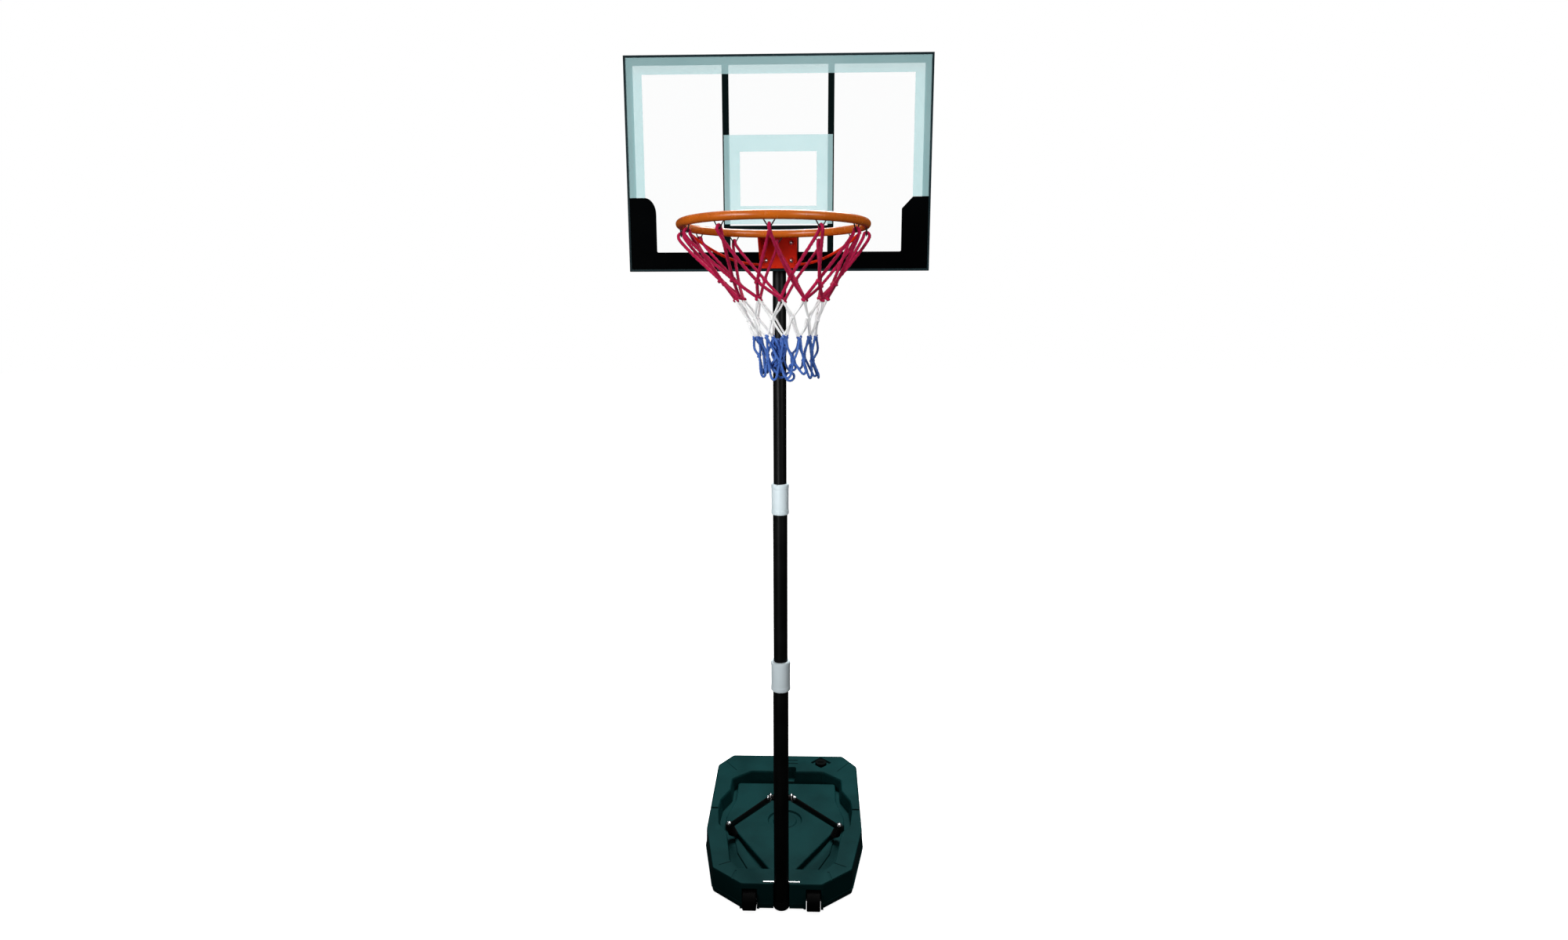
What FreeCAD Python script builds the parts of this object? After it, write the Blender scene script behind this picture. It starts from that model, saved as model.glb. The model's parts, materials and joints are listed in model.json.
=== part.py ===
import FreeCAD
import Part
import math
import os

# Portable basketball hoop, in millimetres, +Z up. The rim is towards -Y and +X is to the right of a
# player who faces the board. The origin is on the floor, under the middle of the hoop's outer box.

V = FreeCAD.Vector
X, Y, Z = V(1, 0, 0), V(0, 1, 0), V(0, 0, 1)
SIDES = (("left", -1), ("right", 1))

# ---------------------------------------------------------------- driving dimensions
# Ring and net
RING_INNER_R = 228.5  # an 18 inch ring
RING_WIRE_R = 11.0
RING_WALL = 2.0
RING_R = RING_INNER_R + RING_WIRE_R
RING_Z = 2297.0
RING_TO_BOARD = 356.5  # ring centre to the board's front face
BRACE_R = 4.0
BRACE_ANGLE = 72.0  # where each brace rod meets the ring, from straight back
HOOKS = 12
HOOK_WIRE_R = 1.6
HOOK_HALF = 15.0
HOOK_DROP = 17.0
NET_WALL = 2.0
NET_TOP = RING_Z - RING_WIRE_R - 9.0
NET_BANDS = (  # height, radius, drift to the right
    (NET_TOP, 221, 0),
    (2193, 170, 8),
    (2110, 126, 18),
    (2012, 86, 26),
    (1938, 75, 30),
    (1890, 80, 32),
)

# Board
BOARD_W = 900.0
BOARD_H = 611.0
BOARD_BOTTOM = 2199.0
PANEL_T = 4.0
TUBE = 20.0  # square frame tube
BAR_W = 18.0  # upright support bars
TUBE_WALL = 1.0
TRIM_T = 2.0
TRIM_LIP = 6.0
TRIM_DEPTH = 14.0
BAR_X = 155.0
CROSS_Z = 2322.0
BRACKET_T = 3.0

# Pole, from the bottom tube to the top tube
POLE_WALL = 1.2
LOWER_R, MIDDLE_R, UPPER_R = 26.0, 23.5, 21.0
LOWER_TOP, MIDDLE_TOP, UPPER_TOP = 899.0, 1504.0, 2314.0
FOOT_SEAT = 6.0  # the bottom tube stands this far up inside its foot cap
MIDDLE_BOTTOM = 688.0
UPPER_BOTTOM = 1318.0
SLIDE_GAP = 0.3
SLEEVE_LOWER = (827.0, 931.0, 32.5)  # bottom, top, radius
SLEEVE_UPPER = (1434.0, 1535.0, 28.5)

# Clamp screw of each sleeve, with its axis along Y
SCREW_R = 4.0
PAD_R = 3.9
SCREW_HOLE_R = 4.2
INSERT_R = 7.0
INSERT_BORE_R = 4.08
BOSS_R = 12.0
BOSS_REACH = 12.0
KNOB_R = 19.0
KNOB_LOBES = 5
KNOB_T = 18.0

# Tank
TANK_REAR = 875.0  # behind the pole's axis
TANK_FRONT = 17.0  # in front of it
TANK_TOP = 108.0
TANK_STEP = 5.0  # the front half of the top is lower by this
STEP_Y = 450.0
TANK_BASE = 8.0  # the tank's underside and the pole's foot are level with each other
WALL = 4.0
GUTTER_Z = 52.0
PLATEAU_Z = 78.0
EMBLEM_Y = 417.0
EMBLEM_R = 69.0
EMBLEM_DEPTH = 8.0
HANDLE_DEPTH = 50.0
WHEEL_X = 113.0
WHEEL_Y = -4.0
WHEEL_R = 38.0
WHEEL_HALF = 24.0
WELL_GAP = 2.0
GUARD_T = 9.0  # low moulded rib on each side of a wheel
GUARD_BOTTOM = 3.0
AXLE_R = 4.0
AXLE_FIT = 0.08
CAP_X, CAP_Y = 149.0, 808.0
CAP_POCKET_HALF = 48.0

# Struts
STRUT_R = 10.0
STRUT_TOP_Z = 428.0
STRUT_TOP_X = 37.0
STRUT_FOOT_X = 214.0
STRUT_FOOT_Y = 318.0
STRUT_FOOT_Z = 118.0
FOOT_BASE_X = 199.0
STRUT_EYE_R = 12.0
STRUT_FLAT = 5.0
STRUT_TAB = 19.0
STRUT_NECK = 26.0

# Places worked out from the above
BOARD_FACE = -60.0  # from the pole's axis
FRONT_REACH = RING_TO_BOARD - BOARD_FACE + RING_R + RING_WIRE_R
POLE_Y = (FRONT_REACH - TANK_REAR) / 2
FACE_Y = POLE_Y + BOARD_FACE
RING_Y = FACE_Y - RING_TO_BOARD
PANEL_BACK = FACE_Y + PANEL_T
FRAME_BACK = PANEL_BACK + TUBE
BRACKET_BACK = FRAME_BACK + BRACKET_T
BOARD_TOP = BOARD_BOTTOM + BOARD_H
FRONT_TOP = TANK_TOP - TANK_STEP
CROSS_BOLT_Z = FRONT_TOP - 1.0
HALF_W = BOARD_W / 2
RIM_BOLTS = [(x, z) for x in (-39.0, 39.0) for z in (2230.0, 2282.0)]
U_BOLT_HEIGHTS = (2248.0, 2300.0)
U_BOLT_R = 3.0
U_BOLT_REACH = UPPER_R + U_BOLT_R + 0.1
BRACKET_SCREWS = [(x, z) for x in (-48.0, 48.0) for z in (2211.0, CROSS_Z)]


# ---------------------------------------------------------------- helpers
def box(x0, x1, y0, y1, z0, z1):
    return Part.makeBox(x1 - x0, y1 - y0, z1 - z0, V(x0, y0, z0))


def rod(start, axis, radius, length):
    return Part.makeCylinder(radius, length, start, axis)


def tube(start, axis, outer, inner, length):
    return rod(start, axis, outer, length).cut(rod(start, axis, inner, length))


def hexagon(centre, axis, across, thickness):
    """A hexagonal nut or bolt head, its first face at centre."""
    corner = across / math.sqrt(3)
    blank = Part.makePolygon([V(corner * math.cos(a), corner * math.sin(a), 0) for a in turns(6, True)])
    solid = Part.Face(blank).extrude(Z * thickness)
    solid = solid.common(Part.makeCone(corner * 1.02, corner * 0.9, thickness))
    return along(solid, centre, axis)


def turns(count, closed=False):
    return [2 * math.pi * i / count for i in range(count + (1 if closed else 0))]


def along(solid, place, axis):
    """Turn a solid built along +Z to point along axis, and move it to place."""
    solid = solid.copy()
    solid.Placement = FreeCAD.Placement(place, FreeCAD.Rotation(Z, axis)).multiply(solid.Placement)
    return solid


def dome(centre, axis, radius, height):
    """A low domed head."""
    ball_r = (radius**2 + height**2) / (2 * height)
    cap = Part.makeSphere(ball_r, V(0, 0, height - ball_r))
    return along(cap.common(Part.makeCylinder(ball_r + 1, height)), centre, axis)


def revolve(profile, centre):
    """Turn a closed outline of (radius, height) points about a vertical axis."""
    points = [V(r, 0, h) for r, h in profile]
    face = Part.Face(Part.makePolygon(points + points[:1]))
    return face.revolve(V(0, 0, 0), Z, 360).translated(centre)


def both_sides(half):
    """Close an outline from its right half, given from front to back."""
    left = [(-x, y) for x, y in reversed(half)]
    return [p for i, p in enumerate(half + left) if i == 0 or p != (half + left)[i - 1]]


def offset_outline(points, grow):
    """Move each side of a counter-clockwise outline outwards, with mitred corners."""
    moved = []
    for i, (x, y) in enumerate(points):
        px, py = points[i - 1]
        nx, ny = points[(i + 1) % len(points)]
        a = math.atan2(y - py, x - px)
        b = math.atan2(ny - y, nx - x)
        half = (b - a + math.pi) % (2 * math.pi) - math.pi
        mid = a + half / 2 - math.pi / 2
        reach = grow / math.cos(half / 2)
        moved.append((x + reach * math.cos(mid), y + reach * math.sin(mid)))
    return moved


def rounded_wire(points, radius, grow, z):
    """A counter-clockwise outline, grown, with an arc at each corner, at height z."""
    grown = [V(x, y + POLE_Y, z) for x, y in offset_outline(points, grow)]
    edges, ends = [], []
    for i, corner in enumerate(grown):
        back = (grown[i - 1] - corner).normalize()
        ahead = (grown[(i + 1) % len(grown)] - corner).normalize()
        turn = math.pi - back.getAngle(ahead)
        left = (-back).cross(ahead).z > 0
        r = max(radius + (grow if left else -grow), 1.0)
        setback = r * math.tan(turn / 2)
        middle = corner + (back + ahead).normalize() * (r / math.cos(turn / 2) - r)
        ends.append((corner + back * setback, middle, corner + ahead * setback))
    for i, (start, middle, end) in enumerate(ends):
        edges.append(Part.Arc(start, middle, end).toShape())
        edges.append(Part.makeLine(end, ends[(i + 1) % len(ends)][0]))
    return Part.Wire(edges)


def stack(points, radius, levels):
    """A solid through the same outline at several (height, growth) levels."""
    return Part.makeLoft([rounded_wire(points, radius, grow, z) for z, grow in levels], True, True)


def pipe(path, radius):
    """A round bar along a wire."""
    first = path.Edges[0]
    start = first.valueAt(first.FirstParameter)
    ring = Part.Wire(Part.makeCircle(radius, start, first.tangentAt(first.FirstParameter)))
    return path.makePipeShell([ring], True, True)


def export(name, *solids):
    shape = solids[0] if len(solids) == 1 else Part.makeCompound(list(solids))
    shape.exportStep(f"parts/{name}.step")


# ---------------------------------------------------------------- tank
# Outlines in plan, right half from front to back, with y measured from the pole's axis
TANK_OUTLINE = both_sides(
    [(143, -TANK_FRONT), (256, 72), (307, 318), (308, 458), (311, 785), (250, TANK_REAR)]
)
TRAY_OUTLINE = both_sides(
    [
        (158, 70),
        (196, 120),
        (224, 292),
        (260, 344),
        (271, 436),
        (267, 508),
        (234, 584),
        (234, 668),
        (156, 733),
    ]
)
PLATEAU_OUTLINE = both_sides([(46, 102), (182, 324), (236, 388), (236, 436), (208, 556), (208, 684)])
WEDGE_OUTLINE = [(58, 76), (104, 76), (176, 228), (196, 326), (176, 318)]
HANDLE_OUTLINE = both_sides([(40, 722), (40, 768)])
NOTCH_OUTLINE = both_sides([(38, 688), (38, 714)])
CAP_POCKET = [
    (CAP_X, CAP_Y - CAP_POCKET_HALF),
    (CAP_X + CAP_POCKET_HALF, CAP_Y),
    (CAP_X, CAP_Y + CAP_POCKET_HALF),
    (CAP_X - CAP_POCKET_HALF, CAP_Y),
]
POCKET_Z = TANK_TOP - 9
NECK = (17.0, 21.0, 7.0)  # bore radius, outer radius, height above the pocket


def tank_recesses(wall):
    """Every hollow in the tank's outside, grown by the wall's thickness."""
    levels = [
        (GUTTER_Z - wall, wall - 9),
        (TANK_TOP - 8, wall - 2),
        (TANK_TOP - 3, wall),
        (TANK_TOP + 9, wall + 9),
    ]
    tray = stack(TRAY_OUTLINE, 24, levels)
    step = box(-400, 400, POLE_Y - 100, POLE_Y + STEP_Y + wall, FRONT_TOP - wall, TANK_TOP + 10)
    slot_r = LOWER_R + 2 + wall
    slot = box(-slot_r, slot_r, POLE_Y - 60, POLE_Y, -1, TANK_TOP + 10)
    slot = slot.fuse(rod(V(0, POLE_Y, -1), Z, slot_r, TANK_TOP + 11))
    handle = stack(HANDLE_OUTLINE, 10, [(TANK_TOP - HANDLE_DEPTH - wall, wall - 4), (TANK_TOP + 9, wall)])
    notch = stack(NOTCH_OUTLINE, 4, [(TANK_TOP - 7 - wall, wall), (TANK_TOP + 9, wall)])
    pocket = stack(CAP_POCKET, 7, [(POCKET_Z - wall, wall - 2), (TANK_TOP + 9, wall)])
    return [tray, step, slot, handle, notch, pocket] + [wheel_well(side, wall) for _, side in SIDES]


def wheel_well(side, wall):
    reach = WHEEL_HALF + WELL_GAP + wall
    middle = side * WHEEL_X
    back = POLE_Y + WHEEL_Y + WHEEL_R + 5 + wall
    return box(middle - reach, middle + reach, POLE_Y - 60, back, -1, 2 * WHEEL_R + 7 + wall)


def tank_body(wall):
    """The tank's outside at wall 0, and its hollow at the wall's thickness."""
    lip = 0 if wall else 3
    levels = [
        (TANK_BASE + wall, -5 - wall),
        (TANK_BASE + 6 + wall / 2, -3.5 - wall),
        (24, -3 - wall),
        (25, -3 + lip - wall),
        (29, -3 + lip - wall),
        (30, -3 - wall),
        (TANK_TOP - 10 - wall, -5 - wall),
        (TANK_TOP - 4 - wall, -7 - wall),
        (TANK_TOP - wall, -12 - wall),
    ]
    body = stack(TANK_OUTLINE, 26, levels)
    for recess in tank_recesses(wall):
        body = body.cut(recess)
    low, high = TANK_BASE + 10, PLATEAU_Z - wall
    levels = [(low, -wall), (high - 4, -wall), (high - 1, -2 - wall), (high, -5 - wall)]
    plateau = stack(PLATEAU_OUTLINE, 12, levels)
    body = body.fuse(plateau)
    for side in (1, -1):
        outline = WEDGE_OUTLINE if side > 0 else [(-x, y) for x, y in reversed(WEDGE_OUTLINE)]
        body = body.fuse(stack(outline, 3, [(low, -wall), (GUTTER_Z + 5 - wall, -2 - wall)]))
    return body


def groove(start, end, width, depth, z):
    """A shallow straight channel in the tank's top, from one plan point to another."""
    run = V(end[0] - start[0], end[1] - start[1], 0)
    bar = Part.makeBox(run.Length, width, depth + 10, V(0, -width / 2, -depth))
    return along_x(bar, V(start[0], start[1] + POLE_Y, z), run)


def along_x(solid, place, axis):
    solid.Placement = FreeCAD.Placement(place, FreeCAD.Rotation(X, axis)).multiply(solid.Placement)
    return solid


def emblem_dimple():
    """A plain round dimple in the tray's floor, with a low raised disc in it."""
    middle = V(0, POLE_Y + EMBLEM_Y, PLATEAU_Z - EMBLEM_DEPTH)
    dimple = Part.makeCone(EMBLEM_R - 4, EMBLEM_R, EMBLEM_DEPTH + 1, middle)
    disc = Part.makeCone(48, 44, 4, middle)
    return dimple.cut(disc)


def make_tank():
    tank = tank_body(0)
    hollow = tank_body(WALL)
    floor = V(0, POLE_Y + EMBLEM_Y, PLATEAU_Z - EMBLEM_DEPTH - WALL)
    bosses, bores = [rod(floor, Z, EMBLEM_R + WALL, EMBLEM_DEPTH + WALL)], []
    for _, side in SIDES:
        reach = WHEEL_HALF + WELL_GAP
        for edge in (-1, 1):
            start = V(side * WHEEL_X + edge * reach, POLE_Y + WHEEL_Y, WHEEL_R)
            bosses.append(rod(start, X * edge, 9, 12))
            bores.append(rod(start - X * edge, X * edge, AXLE_R + 0.05, 9))
        foot = V(side * FOOT_BASE_X, POLE_Y + STRUT_FOOT_Y, TANK_BASE)
        bosses.append(rod(foot, Z, 15, PLATEAU_Z - TANK_BASE))
        bores.append(foot_bore(side))
    for post in bosses:
        hollow = hollow.cut(post)
    tank = tank.cut(hollow)
    for bore in bores:
        tank = tank.cut(bore)
    neck_r, neck_outer, neck_h = NECK
    neck = V(CAP_X, POLE_Y + CAP_Y, POCKET_Z - 1)
    tank = tank.fuse(rod(neck, Z, neck_outer, neck_h + 1))
    tank = tank.cut(rod(neck - Z * WALL, Z, neck_r, neck_h + WALL + 2))
    for _, side in SIDES:
        tank = tank.cut(groove((side * 302, 832), (side * 228, 728), 24, 1.6, TANK_TOP))
        tank = tank.cut(groove((side * 230, 88), (side * 184, 112), 6, 1.5, FRONT_TOP))
        tank = tank.cut(groove((side * 180, 4), (side * 166, 60), 6, 1.5, FRONT_TOP))
    for y in (798, 824):
        tank = tank.cut(groove((-46, y), (46, y), 7, 2.2, TANK_TOP))
    tank = tank.cut(groove((-66, 0), (66, 0), 2 * AXLE_R + 0.2, 2 * AXLE_R - 2, FRONT_TOP))
    tank = tank.cut(emblem_dimple())
    feet = [tank_foot(x, y) for x, y in ((-240, 760), (240, 760), (-266, 324), (266, 324))]
    for foot in feet + wheel_guards():
        tank = tank.fuse(foot)
    export("base_tank", tank.removeSplitter())


def tank_foot(x, y):
    """A moulded pad that the tank stands on."""
    return Part.makeCone(20, 24, TANK_BASE + 1, V(x, POLE_Y + y, 0))


def wheel_guards():
    """Low ribs under the tank, beside each wheel."""
    guards = []
    reach = WHEEL_HALF + WELL_GAP
    for _, side in SIDES:
        for start in (WHEEL_X - reach - GUARD_T, WHEEL_X + reach):
            x0, x1 = sorted((side * start, side * (start + GUARD_T)))
            guards.append(box(x0, x1, POLE_Y - 10, POLE_Y + 26, GUARD_BOTTOM, TANK_BASE + 3))
    return guards


def foot_axis(side):
    low = V(side * FOOT_BASE_X, POLE_Y + STRUT_FOOT_Y, PLATEAU_Z)
    high = V(side * STRUT_FOOT_X, POLE_Y + STRUT_FOOT_Y, STRUT_FOOT_Z)
    return low, high


def foot_bore(side):
    low, high = foot_axis(side)
    lean = (high - low).normalize()
    return rod(low - lean * 26, lean, 3.1, 90)


def make_cap():
    """The cap covers the neck from outside, and its seal lies on the neck's rim."""
    neck_r, neck_outer, neck_h = NECK
    top = POCKET_Z + neck_h
    place = V(CAP_X, POLE_Y + CAP_Y, 0)
    skirt = neck_outer + 0.4
    cap = revolve(
        [
            (skirt, POCKET_Z + 0.5),
            (25, POCKET_Z + 0.5),
            (25, top + 4.5),
            (23.5, top + 6),
            (14, top + 6),
            (13, top + 5),
            (0, top + 5),
            (0, top + 1.9),
            (skirt, top + 1.9),
        ],
        place,
    )
    for angle in turns(24):
        notch = V(25.6 * math.cos(angle), 25.6 * math.sin(angle), POCKET_Z)
        cap = cap.cut(rod(place + notch, Z, 1.2, neck_h + 8))
    cap = cap.fuse(box(CAP_X - 12, CAP_X + 12, place.y - 2.5, place.y + 2.5, top + 4, top + 8))
    export("fill_cap", cap)
    seal = tube(place + Z * (top + 0.1), Z, neck_outer - 0.2, neck_r + 0.3, 1.5)
    export("fill_cap_seal", seal)


# ---------------------------------------------------------------- wheels
def make_wheels():
    axles = []
    for name, side in SIDES:
        middle = V(side * WHEEL_X, POLE_Y + WHEEL_Y, WHEEL_R)
        half = WHEEL_HALF
        bore = AXLE_R + AXLE_FIT
        profile = [
            (bore, -half),
            (11, -half),
            (13, -half + 6),
            (29, -half + 6),
            (30, -half),
            (WHEEL_R - 2.5, -half),
            (WHEEL_R, -half + 2.5),
            (WHEEL_R, half - 2.5),
            (WHEEL_R - 2.5, half),
            (30, half),
            (29, half - 6),
            (13, half - 6),
            (11, half),
            (bore, half),
        ]
        wheel = along(revolve(profile, V(0, 0, 0)), middle, X)
        export(f"wheel_{name}", wheel)
        reach = WHEEL_HALF + WELL_GAP + 7
        axles.append(rod(middle - X * reach, X, AXLE_R, 2 * reach))
    export("wheel_axles", *axles)


# ---------------------------------------------------------------- pole
def make_pole_tubes():
    start = TANK_BASE + FOOT_SEAT
    lower = tube(V(0, POLE_Y, start), Z, LOWER_R, LOWER_R - POLE_WALL, LOWER_TOP - start)
    for height in (CROSS_BOLT_Z, STRUT_TOP_Z):
        lower = lower.cut(rod(V(-40, POLE_Y, height), X, SCREW_R + 0.1, 80))
    export("pole_lower", lower)
    length = MIDDLE_TOP - MIDDLE_BOTTOM
    export("pole_middle", tube(V(0, POLE_Y, MIDDLE_BOTTOM), Z, MIDDLE_R, MIDDLE_R - POLE_WALL, length))
    length = UPPER_TOP - UPPER_BOTTOM
    export("pole_upper", tube(V(0, POLE_Y, UPPER_BOTTOM), Z, UPPER_R, UPPER_R - POLE_WALL, length))


def make_pole_ends():
    inner = LOWER_R - POLE_WALL
    profile = [(0, 0), (26, 0), (28, 2), (28, 30), (27, 31), (LOWER_R, 31)]
    profile += [(LOWER_R, FOOT_SEAT), (inner, FOOT_SEAT), (inner, 24), (0, 24)]
    export("pole_foot_cap", revolve(profile, V(0, POLE_Y, TANK_BASE)))
    inner = UPPER_R - POLE_WALL
    profile = [(0, -15), (inner, -15), (inner, 0), (UPPER_R, 0), (UPPER_R, 2), (19, 4), (0, 4)]
    export("pole_top_cap", revolve(profile, V(0, POLE_Y, UPPER_TOP)))
    bushes = (
        ("guide_bush_middle", MIDDLE_BOTTOM, MIDDLE_R - POLE_WALL, LOWER_R - POLE_WALL),
        ("guide_bush_upper", UPPER_BOTTOM, UPPER_R - POLE_WALL, MIDDLE_R - POLE_WALL),
    )
    for name, height, plug_r, guide in bushes:
        flange_r = guide - SLIDE_GAP
        profile = [(15, -12), (flange_r, -12), (flange_r, 0), (plug_r, 0), (plug_r, 24), (15, 24)]
        export(name, revolve(profile, V(0, POLE_Y, height)))


def make_sleeve(name, sizes, tube_r, tube_top, inner_tube_r):
    """A collar fixed on the end of one tube, which guides and clamps the next tube."""
    bottom, top, outer = sizes
    slide_r = inner_tube_r + SLIDE_GAP
    profile = [
        (tube_r, bottom),
        (outer - 2, bottom),
        (outer, bottom + 3),
        (outer, bottom + 14),
        (outer - 0.8, bottom + 16),
        (outer - 0.8, top - 16),
        (outer, top - 14),
        (outer, top - 3),
        (outer - 2, top),
        (slide_r, top),
        (slide_r, tube_top),
        (tube_r, tube_top),
    ]
    screw_z = (tube_top + top) / 2
    sleeve = revolve(profile, V(0, POLE_Y, 0))
    boss_y = outer + BOSS_REACH
    boss = rod(V(0, POLE_Y + inner_tube_r + 2, screw_z), Y, BOSS_R, boss_y - inner_tube_r - 2)
    sleeve = sleeve.fuse(boss)
    sleeve = sleeve.cut(rod(V(0, POLE_Y + inner_tube_r - 5, screw_z), Y, SCREW_HOLE_R, 60))
    insert_y = boss_y - 10
    sleeve = sleeve.cut(rod(V(0, POLE_Y + insert_y, screw_z), Y, INSERT_R, 20))
    export(f"sleeve_{name}", sleeve)
    insert = tube(V(0, POLE_Y + insert_y, screw_z), Y, INSERT_R, INSERT_BORE_R, 11)
    export(f"sleeve_insert_{name}", insert)
    make_clamp(name, screw_z, inner_tube_r + SLIDE_GAP, boss_y)


def make_clamp(name, z, pad_start, boss_y):
    pad_end = pad_start + 4
    export(f"clamp_pad_{name}", rod(V(0, POLE_Y + pad_start, z), Y, PAD_R, pad_end - pad_start))
    knob_start = boss_y + 3
    length = knob_start + 12 - pad_end
    export(f"lock_stud_{name}", rod(V(0, POLE_Y + pad_end, z), Y, SCREW_R, length))
    hub = revolve([(0, 0), (11, 0), (13, 3), (13, KNOB_T - 2), (10, KNOB_T), (0, KNOB_T)], V(0, 0, 0))
    for angle in turns(KNOB_LOBES):
        centre = V(math.cos(angle), math.sin(angle), 0) * (KNOB_R - 7)
        hub = hub.fuse(rod(centre + Z * 4, Z, 7, KNOB_T - 6))
    knob = along(hub.removeSplitter(), V(0, POLE_Y + knob_start, z), Y)
    export(f"lock_knob_{name}", knob.cut(rod(V(0, POLE_Y + knob_start, z), Y, SCREW_R, 12)))


def make_cross_bolt():
    """The rod lies in the front ledge's groove and holds the bottom tube in its slot."""
    export("pole_cross_bolt", rod(V(-65, POLE_Y, CROSS_BOLT_Z), X, AXLE_R, 130))


# ---------------------------------------------------------------- struts
def strut_ends(side):
    """The middle of each flattened end, and the direction its bolt runs in."""
    top = V(side * (STRUT_TOP_X + 2.5), POLE_Y, STRUT_TOP_Z)
    low, high = foot_axis(side)
    lean = (high - low).normalize()
    return (top, X), (high + lean * 2.5, lean)


def square_to(vector, normal):
    """The part of a vector that lies square to a direction, at unit length."""
    return (vector - normal * vector.dot(normal)).normalize()


def oval(centre, wide, thin, half_wide, half_thin):
    """An ellipse in the plane of two square directions."""
    normal = wide.cross(thin)
    matrix = FreeCAD.Matrix()
    for column, vector in enumerate((wide * half_wide, thin * half_thin, normal, centre)):
        matrix.setCol(column, vector)
    return Part.Wire(Part.makeCircle(1).transformGeometry(matrix))


def flattened_end(centre, normal, run, direction):
    """An eye and tab pressed flat, and the neck where they open out into the round tube."""
    flat = square_to(run, normal)
    wide = normal.cross(flat)
    tab = Part.makeBox(STRUT_TAB, 2 * STRUT_EYE_R, STRUT_FLAT, V(0, -STRUT_EYE_R, -STRUT_FLAT / 2))
    tab = tab.fuse(Part.makeCylinder(STRUT_EYE_R, STRUT_FLAT, V(0, 0, -STRUT_FLAT / 2)))
    matrix = FreeCAD.Matrix()
    for column, vector in enumerate((flat, wide, flat.cross(wide), centre)):
        matrix.setCol(column, vector)
    tab = tab.transformGeometry(matrix)
    bend = centre + flat * STRUT_TAB
    tube_wide = square_to(wide, direction)
    flat_ring = oval(bend - flat, wide, flat.cross(wide), STRUT_EYE_R, STRUT_FLAT / 2)
    neck_end = bend + direction * STRUT_NECK
    round_ring = oval(neck_end, tube_wide, direction.cross(tube_wide), STRUT_R, STRUT_R)
    return tab.fuse(Part.makeLoft([flat_ring, round_ring], True, True))


def make_strut(name, side):
    (top, top_axis), (bottom, bottom_axis) = strut_ends(side)
    run = bottom - top
    bend_top = top + square_to(run, top_axis) * STRUT_TAB
    bend_bottom = bottom - square_to(run, bottom_axis) * STRUT_TAB
    direction = (bend_bottom - bend_top).normalize()
    length = (bend_bottom - bend_top).Length - 2 * STRUT_NECK
    start = bend_top + direction * STRUT_NECK
    strut = rod(start, direction, STRUT_R, length)
    strut = strut.cut(rod(start + direction * 2, direction, STRUT_R - POLE_WALL, length - 4))
    strut = strut.fuse(flattened_end(top, top_axis, run, direction))
    strut = strut.fuse(flattened_end(bottom, bottom_axis, -run, -direction))
    strut = strut.cut(rod(top - top_axis * 10, top_axis, SCREW_R + 0.1, 20))
    strut = strut.cut(rod(bottom - bottom_axis * 10, bottom_axis, 3.1, 20))
    export(f"strut_{name}", strut)


def make_strut_fixings():
    level = V(0, POLE_Y, STRUT_TOP_Z)
    pole = rod(V(0, POLE_Y, STRUT_TOP_Z - 40), Z, LOWER_R, 80)
    spacers, washers, foot_bolts = [], [], []
    for name, side in SIDES:
        spacer = rod(level + X * side * 20, X * side, 10, STRUT_TOP_X - 22)
        spacers.append(spacer.cut(pole).cut(rod(level, X * side, SCREW_R + 0.1, 60)))
        washers.append(tube(level + X * side * (STRUT_TOP_X - 2), X * side, 15, SCREW_R + 0.1, 2))
        low, high = foot_axis(side)
        lean = (high - low).normalize()
        foot = Part.makeCone(18, 14.5, (high - low).Length + 4, low - lean * 4, lean)
        floor = box(-400, 400, POLE_Y, POLE_Y + 900, 0, PLATEAU_Z)
        export(f"strut_foot_{name}", foot.cut(floor).cut(foot_bore(side)))
        bolt = rod(high - lean * 34, lean, 3.0, 39)
        head = dome(high + lean * 5, lean, 10, 6).cut(hexagon(high + lean * 7, lean, 6, 6))
        foot_bolts.append(bolt.fuse(head))
    export("strut_spacers", *spacers)
    export("strut_washers", *washers)
    export("strut_foot_bolts", *foot_bolts)
    reach = STRUT_TOP_X + 5
    bolt = rod(level - X * reach, X, SCREW_R, 2 * reach + 9)
    export("strut_bolt", bolt.fuse(hexagon(level - X * reach, -X, 13, 5.3)))
    nut = hexagon(level + X * reach, X, 13, 6.5)
    export("strut_nut", nut.cut(rod(level, X, SCREW_R, 90)))


# ---------------------------------------------------------------- backboard
def make_panel():
    edge = HALF_W - TRIM_T
    panel = box(-edge, edge, FACE_Y, PANEL_BACK, BOARD_BOTTOM + TRIM_T, BOARD_TOP - TRIM_T)
    for x, z in RIM_BOLTS:
        panel = panel.cut(rod(V(x, FACE_Y - 5, z), Y, SCREW_R + 0.2, 20))
    export("board_panel", panel)


def square_tube(x0, x1, z0, z1, lengthwise):
    """A square tube behind the panel, hollow along X or Z."""
    solid = box(x0, x1, PANEL_BACK, FRAME_BACK, z0, z1)
    y0, y1 = PANEL_BACK + TUBE_WALL, FRAME_BACK - TUBE_WALL
    if lengthwise == "x":
        return solid.cut(box(x0 - 1, x1 + 1, y0, y1, z0 + TUBE_WALL, z1 - TUBE_WALL))
    return solid.cut(box(x0 + TUBE_WALL, x1 - TUBE_WALL, y0, y1, z0 - 1, z1 + 1))


def screw_holes(solid, radius):
    for x, z in BRACKET_SCREWS:
        solid = solid.cut(rod(V(x, FRAME_BACK - TUBE_WALL - 1, z), Y, radius, 20))
    return solid


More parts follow.
